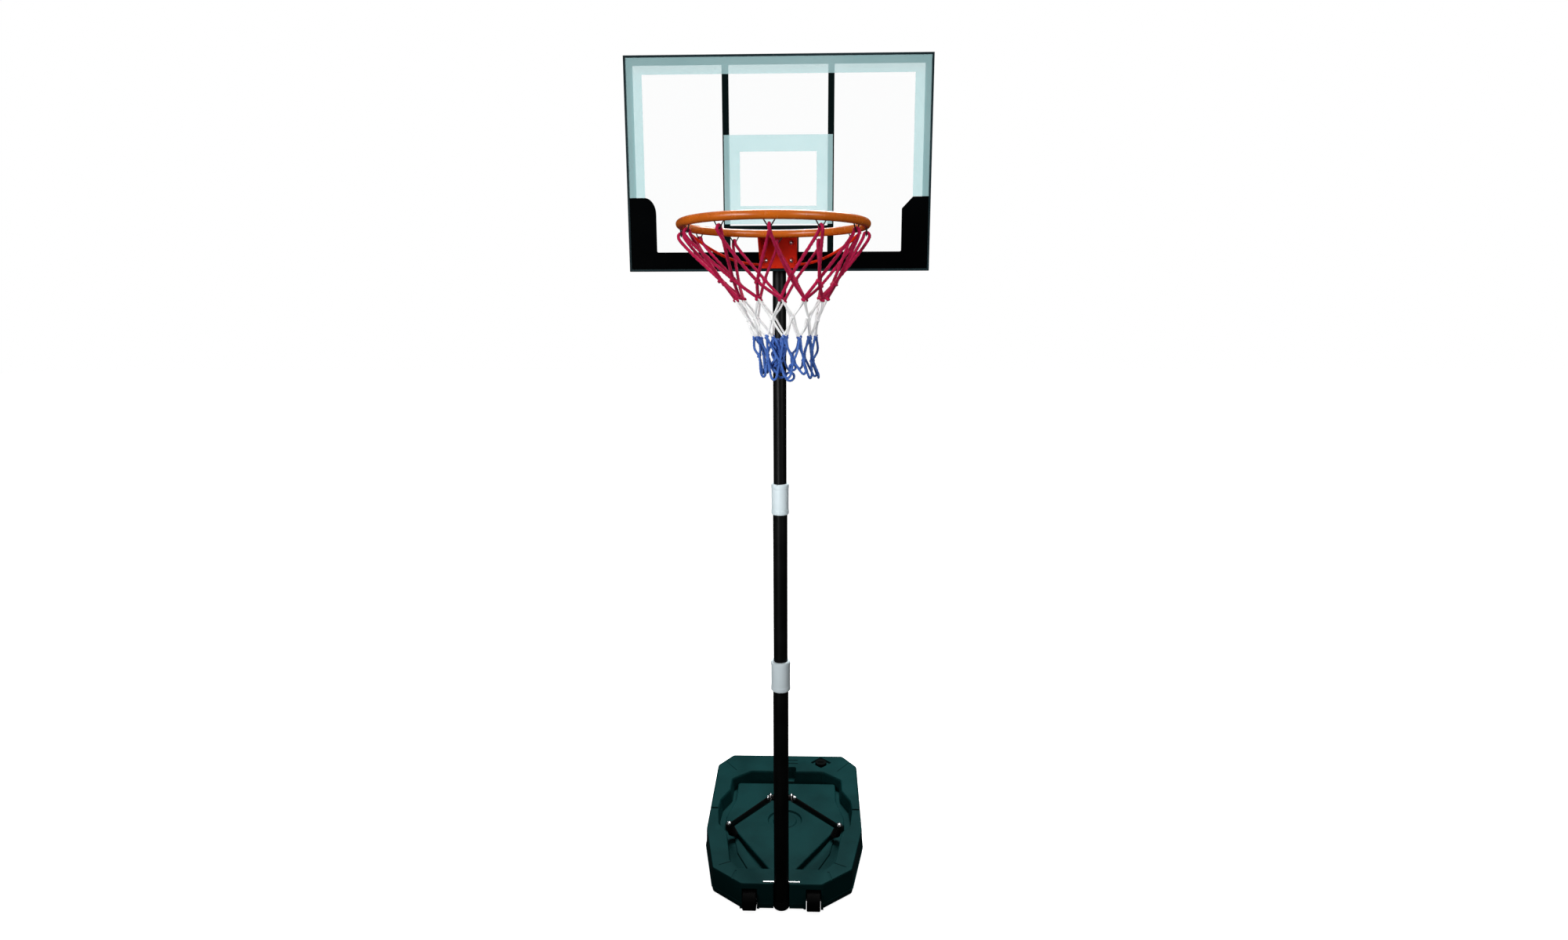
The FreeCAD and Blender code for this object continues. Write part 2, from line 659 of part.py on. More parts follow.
def make_frame():
    edge = HALF_W - TRIM_T
    low, high = BOARD_BOTTOM + TRIM_T, BOARD_TOP - TRIM_T
    export("frame_rail_top", square_tube(-edge, edge, high - TUBE, high, "x"))
    export("frame_rail_bottom", screw_holes(square_tube(-edge, edge, low, low + TUBE, "x"), 3.1))
    export("frame_rail_left", square_tube(-edge, -edge + TUBE, low + TUBE, high - TUBE, "z"))
    export("frame_rail_right", square_tube(edge - TUBE, edge, low + TUBE, high - TUBE, "z"))
    for name, side in SIDES:
        middle = side * BAR_X
        bar = square_tube(middle - BAR_W / 2, middle + BAR_W / 2, low + TUBE, high - TUBE, "z")
        export(f"support_bar_{name}", bar)
    inner = BAR_X - BAR_W / 2
    cross = square_tube(-inner, inner, CROSS_Z - TUBE / 2, CROSS_Z + TUBE / 2, "x")
    export("cross_bar", screw_holes(cross, 3.1))


def make_trim():
    """An L-section edging, in four mitred lengths."""
    outer = box(-HALF_W, HALF_W, FACE_Y - TRIM_T, FACE_Y + TRIM_DEPTH, BOARD_BOTTOM, BOARD_TOP)
    inner = HALF_W - TRIM_LIP
    window = box(-inner, inner, FACE_Y - 9, FACE_Y + 99, BOARD_BOTTOM + TRIM_LIP, BOARD_TOP - TRIM_LIP)
    seat = HALF_W - TRIM_T
    bed = box(-seat, seat, FACE_Y, FACE_Y + 99, BOARD_BOTTOM + TRIM_T, BOARD_TOP - TRIM_T)
    edging = outer.cut(window).cut(bed)
    y0, depth = FACE_Y - 20, 60
    reach = BOARD_H / 2
    middle = (BOARD_BOTTOM + BOARD_TOP) / 2
    for name, side in SIDES:
        corners = [
            V(side * (HALF_W + 1), y0, BOARD_BOTTOM - 1),
            V(side * (HALF_W + 1), y0, BOARD_TOP + 1),
            V(side * (HALF_W - reach), y0, middle),
        ]
        wedge = Part.Face(Part.makePolygon(corners + corners[:1])).extrude(Y * depth)
        export(f"edge_trim_{name}", edging.common(wedge))
        edging = edging.cut(wedge)
    export("edge_trim_top", edging.common(box(-500, 500, y0, y0 + depth, middle, BOARD_TOP + 9)))
    export("edge_trim_bottom", edging.common(box(-500, 500, y0, y0 + depth, BOARD_BOTTOM - 9, middle)))


def make_pole_bracket():
    plate = box(-60, 60, FRAME_BACK, BRACKET_BACK, BOARD_BOTTOM + TRIM_T, CROSS_Z + 12)
    for x, z in RIM_BOLTS:
        plate = plate.cut(rod(V(x, FRAME_BACK - 5, z), Y, SCREW_R + 0.2, 20))
    plate = screw_holes(plate, 3.1)
    legs = [(x, z) for x in (-U_BOLT_REACH, U_BOLT_REACH) for z in U_BOLT_HEIGHTS]
    for x, z in legs:
        plate = plate.cut(rod(V(x, FRAME_BACK - 5, z), Y, U_BOLT_R + 0.2, 20))
    export("pole_bracket", plate)
    half = UPPER_R - 1.5
    low, high = U_BOLT_HEIGHTS[0] - 16, CROSS_Z - 14
    saddle = box(-half, half, BRACKET_BACK, POLE_Y - 8, low, high)
    export("pole_saddle", saddle.cut(rod(V(0, POLE_Y, low - 1), Z, UPPER_R, high - low + 2)))
    bolts, nuts = [], []
    for z in U_BOLT_HEIGHTS:
        front = FRAME_BACK - 10
        left, right = V(-U_BOLT_REACH, POLE_Y, z), V(U_BOLT_REACH, POLE_Y, z)
        path = Part.Wire(
            [
                Part.makeLine(V(-U_BOLT_REACH, front, z), left),
                Part.Arc(left, V(0, POLE_Y + U_BOLT_REACH, z), right).toShape(),
                Part.makeLine(right, V(U_BOLT_REACH, front, z)),
            ]
        )
        bolts.append(pipe(path, U_BOLT_R))
        for x in (-U_BOLT_REACH, U_BOLT_REACH):
            nut = hexagon(V(x, FRAME_BACK, z), -Y, 10, 5)
            nuts.append(nut.cut(rod(V(x, front, z), Y, U_BOLT_R, 20)))
    export("u_bolts", *bolts)
    export("u_bolt_nuts", *nuts)
    screws = []
    for x, z in BRACKET_SCREWS:
        shank = rod(V(x, FRAME_BACK - 8, z), Y, 3.0, 8 + BRACKET_T)
        screws.append(shank.fuse(hexagon(V(x, BRACKET_BACK, z), Y, 10, 4)))
    export("bracket_screws", *screws)


# ---------------------------------------------------------------- rim
def ring_solid():
    return Part.makeTorus(RING_R, RING_WIRE_R, V(0, RING_Y, RING_Z))


def make_rim_bracket():
    """Back plate, shelf out to the ring, and a tapered gusset on each side."""
    half, low, high = 56.0, BOARD_BOTTOM + TRIM_LIP + 2, RING_Z + 17
    plate_y = FACE_Y - BRACKET_T
    ring_back = RING_Y + RING_R
    shelf_z = RING_Z + 2
    bracket = box(-half, half, plate_y, FACE_Y, low, high)
    bracket = bracket.fuse(box(-half, half, ring_back, plate_y, shelf_z - BRACKET_T, shelf_z))
    for side in (-1, 1):
        inner = side * half if side < 0 else half - BRACKET_T
        corners = [
            V(inner, plate_y, low + 8),
            V(inner, plate_y, shelf_z),
            V(inner, ring_back, shelf_z),
            V(inner, ring_back, shelf_z - 12),
            V(inner, plate_y - 20, low + 14),
        ]
        bracket = bracket.fuse(Part.Face(Part.makePolygon(corners + corners[:1])).extrude(X * BRACKET_T))
    bracket = bracket.cut(ring_solid())
    bracket = bracket.common(box(-half, half, ring_back - 6, FACE_Y, low, high))
    for x, z in RIM_BOLTS:
        bracket = bracket.cut(rod(V(x, plate_y - 5, z), Y, SCREW_R + 0.2, 20))
    shape = bracket.removeSplitter()
    export("rim_bracket", max(shape.Solids, key=lambda solid: solid.Volume))
    return shape


def make_rim():
    hollow = Part.makeTorus(RING_R, RING_WIRE_R - RING_WALL, V(0, RING_Y, RING_Z))
    export("rim_ring", ring_solid().cut(hollow))
    bracket = make_rim_bracket()
    attach = math.radians(BRACE_ANGLE)
    for name, side in SIDES:
        start_y = RING_Y + RING_R * math.cos(attach)
        start = V(side * RING_R * math.sin(attach), start_y, RING_Z - RING_WIRE_R - 2)
        belly = V(side * 178, FACE_Y - 207, RING_Z - 50)
        foot = V(side * 48, FACE_Y - 6, RING_Z - 79)
        brace = pipe(Part.Wire(Part.Arc(start, belly, foot).toShape()), BRACE_R)
        brace = brace.cut(bracket).cut(ring_solid()).cut(box(-500, 500, FACE_Y - BRACKET_T, 0, 2000, 2500))
        export(f"rim_brace_{name}", max(brace.Solids, key=lambda solid: solid.Volume))


def make_rim_fixings():
    bolts, nuts, spacers = [], [], []
    for x, z in RIM_BOLTS:
        head = V(x, FACE_Y - BRACKET_T, z)
        bolt = rod(head, Y, SCREW_R, BRACKET_BACK - head.y + 10)
        bolts.append(bolt.fuse(dome(head, -Y, 7.5, 5)))
        nut = hexagon(V(x, BRACKET_BACK, z), Y, 13, 6.5)
        nuts.append(nut.cut(rod(head, Y, SCREW_R, 90)))
        spacers.append(tube(V(x, PANEL_BACK, z), Y, 8, SCREW_R + 0.2, TUBE))
    export("rim_bolts", *bolts)
    export("rim_nuts", *nuts)
    export("bolt_spacers", *spacers)


def make_hooks():
    """V-shaped wire loops, hung from the ring's underside."""
    bend = 4.0
    hooks = []
    for angle in turns(HOOKS):
        spread = math.atan2(HOOK_DROP, HOOK_HALF - bend)
        side = V(math.sin(spread), 0, math.cos(spread)) * bend
        low = V(0, 0, -HOOK_DROP)
        left, right = low + V(-side.x, 0, bend - side.z), low + V(side.x, 0, bend - side.z)
        top = 2.5
        run = (top - left.z) / math.tan(spread)
        path = Part.Wire(
            [
                Part.makeLine(V(left.x - run, 0, top), left),
                Part.Arc(left, low, right).toShape(),
                Part.makeLine(right, V(right.x + run, 0, top)),
            ]
        )
        hook = pipe(path, HOOK_WIRE_R)
        hook.rotate(V(0, 0, 0), Z, math.degrees(angle))
        place = V(RING_R * math.sin(angle), RING_Y - RING_R * math.cos(angle), RING_Z - RING_WIRE_R)
        hook.translate(place)
        hooks.append(hook.cut(ring_solid()).Solids)
    export("net_hooks", *[max(parts, key=lambda solid: solid.Volume) for parts in hooks])


def make_net():
    """A thin open funnel with the net's outer shape."""
    shells = []
    for thinner in (0, NET_WALL):
        wires = []
        for z, radius, drift in NET_BANDS:
            wires.append(Part.Wire(Part.makeCircle(radius - thinner, V(drift, RING_Y, z), Z)))
        shells.append(Part.makeLoft(wires, True, True))
    export("net", shells[0].cut(shells[1]))


# ---------------------------------------------------------------- the whole hoop
os.makedirs("parts", exist_ok=True)
make_tank()
make_cap()
make_wheels()
make_pole_tubes()
make_pole_ends()
make_sleeve("lower", SLEEVE_LOWER, LOWER_R, LOWER_TOP, MIDDLE_R)
make_sleeve("upper", SLEEVE_UPPER, MIDDLE_R, MIDDLE_TOP, UPPER_R)
make_cross_bolt()
for strut_name, strut_side in SIDES:
    make_strut(strut_name, strut_side)
make_strut_fixings()
make_panel()
make_frame()
make_trim()
make_pole_bracket()
make_rim()
make_rim_fixings()
make_hooks()
make_net()
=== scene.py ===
"""Looks for the portable basketball hoop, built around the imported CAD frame. Metres, +Z up."""

import json
import math
import random

import bpy
from mathutils import Matrix, Vector


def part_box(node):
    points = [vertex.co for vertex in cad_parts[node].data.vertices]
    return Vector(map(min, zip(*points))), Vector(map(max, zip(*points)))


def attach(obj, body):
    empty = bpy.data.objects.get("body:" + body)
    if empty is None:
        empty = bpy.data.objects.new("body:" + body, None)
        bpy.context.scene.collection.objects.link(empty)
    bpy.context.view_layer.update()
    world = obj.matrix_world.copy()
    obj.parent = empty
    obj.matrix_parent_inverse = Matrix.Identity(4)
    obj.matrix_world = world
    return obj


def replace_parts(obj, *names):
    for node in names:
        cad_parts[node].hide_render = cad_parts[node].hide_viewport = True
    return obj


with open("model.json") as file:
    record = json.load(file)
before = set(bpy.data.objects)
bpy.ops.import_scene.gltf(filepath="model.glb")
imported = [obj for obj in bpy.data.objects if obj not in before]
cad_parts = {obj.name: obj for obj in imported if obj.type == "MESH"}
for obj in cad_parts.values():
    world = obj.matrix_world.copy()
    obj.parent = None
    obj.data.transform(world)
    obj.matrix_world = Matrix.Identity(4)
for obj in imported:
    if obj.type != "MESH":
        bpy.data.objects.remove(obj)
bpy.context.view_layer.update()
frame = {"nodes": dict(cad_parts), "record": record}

# Places read from the frame
PANEL_LOW, PANEL_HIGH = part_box("board_panel")
RING_LOW, RING_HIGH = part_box("rim_ring")
HOOK_LOW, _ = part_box("net_hooks")
FACE_Y = PANEL_LOW.y
RING_CENTRE = (RING_LOW + RING_HIGH) / 2
WIRE_R = (RING_HIGH.z - RING_LOW.z) / 2
RING_R = (RING_HIGH.x - RING_LOW.x) / 2 - WIRE_R


# ---------------------------------------------------------------- materials
# The range that most of a noise texture's values lie in
NOISE_LOW, NOISE_HIGH = 0.3, 0.7


class Nodes:
    """A short way to write a node tree around one Principled shader."""

    def __init__(self, name):
        self.material = bpy.data.materials.new(name)
        self.material.use_nodes = True
        self.tree = self.material.node_tree
        self.shader = self.tree.nodes["Principled BSDF"]
        self.place = self.add("ShaderNodeTexCoord").outputs["Object"]

    def add(self, kind, **values):
        node = self.tree.nodes.new(kind)
        for key, value in values.items():
            setattr(node, key, value)
        return node

    def link(self, source, target):
        self.tree.links.new(source, target)

    def stretched(self, scale):
        """Object coordinates, scaled along each axis."""
        mapping = self.add("ShaderNodeMapping")
        mapping.inputs["Scale"].default_value = scale
        self.link(self.place, mapping.inputs["Vector"])
        return mapping.outputs["Vector"]

    def noise(self, scale, detail=3.0, rough=0.5, stretch=None):
        node = self.add("ShaderNodeTexNoise")
        node.inputs["Scale"].default_value = scale
        node.inputs["Detail"].default_value = detail
        node.inputs["Roughness"].default_value = rough
        self.link(self.stretched(stretch) if stretch else self.place, node.inputs["Vector"])
        return node.outputs["Fac"]

    def span(self, value, low, high):
        """Map a noise value onto a range of numbers."""
        node = self.add("ShaderNodeMapRange")
        node.inputs["From Min"].default_value = NOISE_LOW
        node.inputs["From Max"].default_value = NOISE_HIGH
        node.inputs["To Min"].default_value = low
        node.inputs["To Max"].default_value = high
        self.link(value, node.inputs["Value"])
        return node.outputs["Result"]

    def bump(self, value, height, strength=1.0, below=None):
        node = self.add("ShaderNodeBump")
        node.inputs["Distance"].default_value = height
        node.inputs["Strength"].default_value = strength
        self.link(value, node.inputs["Height"])
        if below is not None:
            self.link(below, node.inputs["Normal"])
        return node.outputs["Normal"]

    def rounded_edges(self, radius):
        node = self.add("ShaderNodeBevel", samples=4)
        node.inputs["Radius"].default_value = radius
        return node.outputs["Normal"]

    def colour(self, value, dark, light, start=0.35, end=0.65):
        """Blend the base colour from dark to light as the value goes from start to end."""
        node = self.add("ShaderNodeValToRGB")
        stops = ((start, dark), (end, light))
        for element, (place, tone) in zip(node.color_ramp.elements, stops):
            element.position = place
            element.color = (*tone, 1.0)
        self.link(value, node.inputs["Fac"])
        self.link(node.outputs["Color"], self.shader.inputs["Base Color"])

    def roughness(self, value, low, high):
        self.link(self.span(value, low, high), self.shader.inputs["Roughness"])

    def normal(self, socket):
        self.link(socket, self.shader.inputs["Normal"])

    def set(self, **values):
        for key, value in values.items():
            self.shader.inputs[key.replace("_", " ")].default_value = value


def moulded_plastic(
    name, dark, light, rough=(0.42, 0.58), grain=0.00005, cell=900.0, edge=0.0015, gloss=0.12
):
    """Moulded plastic with a fine grain and slow changes in tone."""
    m = Nodes(name)
    cloud = m.noise(6.0, 4.0)
    m.colour(cloud, dark, light)
    m.roughness(m.noise(35.0, 3.0), *rough)
    wavy = m.bump(m.noise(9.0, 1.0), 0.0012, 0.35, m.rounded_edges(edge))
    m.normal(m.bump(m.noise(cell, 2.0), grain, 0.6, wavy))
    m.set(Specular_IOR_Level=gloss)
    return m.material


def powder_coat(name, dark, light, rough=(0.22, 0.34), streak=1.0, gloss=0.5):
    """Powder coat on steel, with a light orange peel. A small streak draws the rubbing out along Z."""
    m = Nodes(name)
    m.colour(m.noise(14.0, 3.0), dark, light)
    m.roughness(m.noise(60.0, 4.0, stretch=(1.0, 1.0, streak)), *rough)
    m.normal(m.bump(m.noise(420.0, 1.0), 0.00006, 0.5, m.rounded_edges(0.0006)))
    m.set(Specular_IOR_Level=gloss)
    return m.material


def metal(name, tone):
    """Bare or plated metal with cloudy patches and a fine grain."""
    m = Nodes(name)
    m.colour(m.noise(160.0, 4.0), tuple(0.72 * t for t in tone), tone)
    m.roughness(m.noise(400.0, 3.0), 0.2, 0.4)
    m.normal(m.bump(m.noise(1500.0, 2.0), 0.00002, 0.5, m.rounded_edges(0.0004)))
    m.set(Metallic=1.0)
    return m.material


def rubber(name, tone):
    """Matt rubber with a fine grain."""
    m = Nodes(name)
    m.colour(m.noise(90.0, 4.0), tuple(0.7 * t for t in tone), tone)
    m.roughness(m.noise(200.0), 0.7, 0.85)
    m.normal(m.bump(m.noise(1200.0, 2.0), 0.00004, 0.6))
    return m.material


def clear_sheet(name):
    """Clear plastic sheet with a faint cool tint and almost invisible rubbing."""
    m = Nodes(name)
    m.colour(m.noise(3.0, 2.0), (0.08, 0.22, 0.22), (0.12, 0.28, 0.28))
    m.roughness(m.noise(18.0, 4.0), 0.03, 0.09)
    m.set(Alpha=0.015)
    return m.material


def frosted_print(name):
    """A thin pale ink. A sight line crosses its front and back faces, so its alpha counts twice."""
    m = Nodes(name)
    m.colour(m.noise(5.0, 3.0), (0.49, 0.78, 0.80), (0.55, 0.83, 0.85))
    m.roughness(m.noise(60.0, 3.0), 0.3, 0.42)
    m.normal(m.bump(m.noise(900.0, 2.0), 0.00001, 0.4))
    m.set(Alpha=0.45, Specular_IOR_Level=0.2)
    return m.material


def opaque_print(name):
    """A solid black ink, smooth but with little reflection."""
    m = Nodes(name)
    m.colour(m.noise(4.0, 3.0), (0.0008, 0.0010, 0.0012), (0.0014, 0.0018, 0.0020))
    m.roughness(m.noise(40.0, 3.0), 0.16, 0.24)
    m.normal(m.bump(m.noise(900.0, 2.0), 0.00001, 0.4))
    m.set(Specular_IOR_Level=0.01)
    return m.material


def cord_material(name, dark, light):
    """Spun cord: soft sheen, fibres and worn, slightly faded patches."""
    m = Nodes(name)
    m.colour(m.noise(70.0, 5.0, 0.6), dark, light, 0.3, 0.7)
    m.roughness(m.noise(300.0), 0.75, 0.92)
    m.normal(m.bump(m.noise(2400.0, 3.0), 0.00025, 0.7))
    m.set(Sheen_Weight=0.08, Sheen_Roughness=0.45, Specular_IOR_Level=0.2)
    return m.material


MATERIALS = {
    "tank_teal": moulded_plastic(
        "tank_teal", (0.0028, 0.026, 0.0268), (0.0046, 0.038, 0.039), edge=0.004, gloss=0.04
    ),
    "cap_black": moulded_plastic("cap_black", (0.001, 0.002, 0.002), (0.002, 0.004, 0.004), gloss=0.04),
    "seal_rubber": rubber("seal_rubber", (0.02, 0.02, 0.02)),
    "wheel_black": moulded_plastic("wheel_black", (0.002, 0.002, 0.002), (0.005, 0.005, 0.005), gloss=0.04),
    "zinc_steel": metal("zinc_steel", (0.80, 0.81, 0.82)),
    "pole_black": powder_coat(
        "pole_black",
        (0.0020, 0.0022, 0.0021),
        (0.0038, 0.0040, 0.0040),
        rough=(0.3, 0.42),
        streak=0.12,
        gloss=0.1,
    ),
    "sleeve_white": moulded_plastic(
        "sleeve_white", (0.66, 0.77, 0.81), (0.74, 0.84, 0.88), rough=(0.28, 0.42), grain=0.00002, gloss=0.3
    ),
    "bush_grey": moulded_plastic("bush_grey", (0.10, 0.10, 0.11), (0.14, 0.14, 0.15)),
    "knob_black": moulded_plastic("knob_black", (0.002, 0.002, 0.002), (0.005, 0.005, 0.005), cell=1400.0),
    "insert_brass": metal("insert_brass", (0.72, 0.52, 0.22)),
    "frame_black": powder_coat("frame_black", (0.0010, 0.0028, 0.0032), (0.002, 0.0045, 0.005), gloss=0.03),
    "trim_black": moulded_plastic("trim_black", (0.006, 0.018, 0.022), (0.010, 0.026, 0.031), edge=0.0008),
    "panel_clear": clear_sheet("panel_clear"),
    "print_frost": frosted_print("print_frost"),
    "print_black": opaque_print("print_black"),
    "hook_wire": powder_coat("hook_wire", (0.012, 0.010, 0.010), (0.035, 0.028, 0.026), gloss=0.3),
    "rim_orange": powder_coat("rim_orange", (0.53, 0.105, 0.006), (0.65, 0.145, 0.010), rough=(0.2, 0.3)),
    "bracket_orange": powder_coat(
        "bracket_orange", (0.72, 0.018, 0.004), (0.84, 0.030, 0.006), rough=(0.26, 0.4), gloss=0.25
    ),
    "net_cord": cord_material("net_cord", (0.36, 0.003, 0.040), (0.54, 0.008, 0.078)),
    "cord_white": cord_material("cord_white", (0.86, 0.87, 0.87), (0.97, 0.97, 0.97)),
    "cord_blue": cord_material("cord_blue", (0.030, 0.095, 0.39), (0.090, 0.20, 0.57)),
}


def dress_frame():
    """Give each CAD node the material of its slot."""
    for row in frame["record"]["subparts"]:
        node = frame["nodes"][row["node"]]
        node.data.materials.clear()
        node.data.materials.append(MATERIALS[row["material_slot"]])


# ---------------------------------------------------------------- mesh helpers
def add_piece(name, mesh, slot):
    """Put a mesh into the scene. Every piece made here moves with the board."""
    mesh.materials.clear()
    mesh.materials.append(MATERIALS[slot])
    piece = bpy.data.objects.new(name, mesh)
    bpy.context.scene.collection.objects.link(piece)
    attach(piece, "upper_mast")
    return piece


def smooth_mesh(name, vertices, faces):
    mesh = bpy.data.meshes.new(name)
    mesh.from_pydata(vertices, [], faces)
    mesh.validate()
    mesh.update()
    for polygon in mesh.polygons:
        polygon.use_smooth = True
    return mesh


def plate(name, outline, holes, front, back, slot):
    """A flat printed layer on the board: an outline in x and z with straight-sided holes."""
    curve = bpy.data.curves.new(name, "CURVE")
    curve.dimensions = "2D"
    curve.fill_mode = "BOTH"
    curve.extrude = (back - front) / 2
    for loop in [outline, *holes]:
        spline = curve.splines.new("POLY")
        spline.points.add(len(loop) - 1)
        for point, (x, z) in zip(spline.points, loop):
            point.co = (x, z, 0, 1)
        spline.use_cyclic_u = True
    shape = bpy.data.objects.new(name, curve)
    bpy.context.scene.collection.objects.link(shape)
    bpy.context.view_layer.update()
    mesh = bpy.data.meshes.new_from_object(shape)
    bpy.data.objects.remove(shape)
    upright = Matrix.Translation((0, (front + back) / 2, 0)) @ Matrix.Rotation(math.pi / 2, 4, "X")
    mesh.transform(upright)
    add_piece(name, mesh, slot)


def arc(centre, radii, start, end, steps):
    """Points on an ellipse's arc, angles in degrees."""
    points = []
    for i in range(steps + 1):
        a = math.radians(start + (end - start) * i / steps)
        points.append((centre[0] + radii[0] * math.cos(a), centre[1] + radii[1] * math.sin(a)))
    return points


# ---------------------------------------------------------------- board prints
# The edge trim reaches past the panel by EDGING, and the prints stop TRIM_LAP inside its outer edge
EDGING = 0.002
TRIM_LAP = 0.006
PRINT_FRONT = FACE_Y - 0.0003
PRINT_BACK = FACE_Y - 0.00005
BORDER_W = 0.053
BOARD_HALF = PANEL_HIGH.x + EDGING
EDGE_X = BOARD_HALF - TRIM_LAP
WINDOW_X = BOARD_HALF - BORDER_W
BOARD_TOP, BOARD_BOTTOM = PANEL_HIGH.z + EDGING, PANEL_LOW.z - EDGING
TOP_EDGE, BOTTOM_EDGE = BOARD_TOP - TRIM_LAP, BOARD_BOTTOM + TRIM_LAP
BLOCK_TOP = BOARD_BOTTOM + 0.214
BLOCK_X = 0.3655
BAND_TOP = BOARD_BOTTOM + 0.056
TARGET_X, TARGET_LOW, TARGET_HIGH = 0.160, BOARD_BOTTOM + 0.137, BOARD_BOTTOM + 0.390
STRIPE = 0.047
LOWER_BAR_EXTRA = 0.005
INK_GAP = 0.0005
INNER_R = 0.004
BEVEL_X, BEVEL_R = 0.400, 0.005
BEVEL_FOOT, BEVEL_FOOT_R = 0.037, 0.006
ROUND_X, ROUND_Z = 0.034, 0.048


def make_prints():
    """The pale border and target, and the black band with its two corner blocks."""
    window_top = BOARD_TOP - BORDER_W
    border = [
        (-EDGE_X, BLOCK_TOP),
        (-WINDOW_X, BLOCK_TOP),
        (-WINDOW_X, window_top),
        (WINDOW_X, window_top),
        (WINDOW_X, BLOCK_TOP),
        (EDGE_X, BLOCK_TOP),
        (EDGE_X, TOP_EDGE),
        (-EDGE_X, TOP_EDGE),
    ]
    plate("print_border", border, [], PRINT_FRONT, PRINT_BACK, "print_frost")
    outer = [
        (-TARGET_X, TARGET_LOW),
        (TARGET_X, TARGET_LOW),
        (TARGET_X, TARGET_HIGH),
        (-TARGET_X, TARGET_HIGH),
    ]
    x, low, high = TARGET_X - STRIPE, TARGET_LOW + STRIPE + LOWER_BAR_EXTRA, TARGET_HIGH - STRIPE
    inner = [(-x, low), (-x, high), (x, high), (x, low)]
    plate("print_target", outer, [inner], PRINT_FRONT, PRINT_BACK, "print_frost")
    ink_top = BLOCK_TOP - INK_GAP
    inner_z = BAND_TOP + INNER_R
    lower = [(-EDGE_X, BOTTOM_EDGE), (EDGE_X, BOTTOM_EDGE), (EDGE_X, ink_top), (BEVEL_X + 0.002, ink_top)]
    lower += arc((BEVEL_X, ink_top - BEVEL_R), (BEVEL_R, BEVEL_R), 80, 130, 4)
    foot = (BLOCK_X + BEVEL_FOOT_R, BLOCK_TOP - BEVEL_FOOT)
    lower += arc(foot, (BEVEL_FOOT_R, BEVEL_FOOT_R), 140, 180, 4)
    lower += arc((BLOCK_X - INNER_R, inner_z), (INNER_R, INNER_R), 0, -90, 4)
    lower += arc((-BLOCK_X + INNER_R, inner_z), (INNER_R, INNER_R), 270, 180, 4)
    lower += arc((-BLOCK_X - ROUND_X, BLOCK_TOP - ROUND_Z), (ROUND_X, ROUND_Z), 0, 90, 14)
    lower += [(-EDGE_X, ink_top)]
    plate("print_lower", lower, [], PRINT_FRONT, PRINT_BACK, "print_black")


# ---------------------------------------------------------------- net
# Sizes of the net. LOOPS is the number of hooks.
LOOPS = 12
NET_SEED = 7
CORD_R = {"red": 0.0047, "white": 0.0032, "blue": 0.0036}
LOBES = 3
LOBE_DEPTH = 0.14
TWIST_PITCH = 0.013
ROPE_STEP = 0.0028
ROPE_SIDES = 12
KNOT_TURNS = 1.2
KNOT_STEPS = 12
# Rows of knots below the hooks: height, radius, drift to the right, sideways scatter, up-and-down scatter
ROWS = (
    (2.1560, 0.1560, 0.010, 0.0070, 0.009),
    (2.1100, 0.1190, 0.020, 0.0050, 0.003),
    (2.0600, 0.0960, 0.024, 0.0060, 0.006),
    (2.0110, 0.0780, 0.028, 0.0050, 0.003),
    (1.9590, 0.0720, 0.035, 0.0100, 0.010),
)
LAST_RED, LAST_WHITE = 1, 3
CORD_PASS = 0.0014
# From the hooks' lowest point up to the seat of a cord, and how far the cord clears the wire sideways
HOOK_SEAT = 0.0032
HOOK_CLEAR = 0.0022
LOOP_DROP = 0.046
# The bunched cord: its middle's X and Y from the ring's axis, and its height
BUNCH_X, BUNCH_Y, BUNCH_Z = 0.013, -0.052, 1.962
BUNCH_CORDS = 9
BUNCH_HALF = 0.016
BUNCH_POINTS = 8
BUNCH_TOP, BUNCH_FALL = 0.046, 0.0125
# Curls under the tail: X from the ring's axis, height and radius
CURLS = ((0.020, 1.917, 0.009), (0.043, 1.911, 0.011), (0.050, 1.935, 0.008))
CURL_Y = -0.060
CURL_TURNS = 1.15
CURL_STEPS = 16
CURL_DRIFT = 0.0009


def spline_points(points, step):
    """A smooth centripetal curve through the points, sampled at an even step."""
    out = []
    count = len(points)
    for i in range(count - 1):
        p0 = points[i - 1] if i else points[0] * 2 - points[1]
        p1, p2 = points[i], points[i + 1]
        p3 = points[i + 2] if i + 2 < count else points[-1] * 2 - points[-2]
        t1 = max((p1 - p0).length, 1e-6) ** 0.5
        t2 = t1 + max((p2 - p1).length, 1e-6) ** 0.5
        t3 = t2 + max((p3 - p2).length, 1e-6) ** 0.5
        pieces = max(2, math.ceil((p2 - p1).length / step))
        for j in range(pieces):
            t = t1 + (t2 - t1) * j / pieces
            a1 = p0 * ((t1 - t) / t1) + p1 * (t / t1)
            a2 = p1 * ((t2 - t) / (t2 - t1)) + p2 * ((t - t1) / (t2 - t1))
            a3 = p2 * ((t3 - t) / (t3 - t2)) + p3 * ((t - t2) / (t3 - t2))
            b1 = a1 * ((t2 - t) / t2) + a2 * (t / t2)
            b2 = a2 * ((t3 - t) / (t3 - t1)) + a3 * ((t - t1) / (t3 - t1))
            out.append(b1 * ((t2 - t) / (t2 - t1)) + b2 * ((t - t1) / (t2 - t1)))
    out.append(points[-1])
    return out


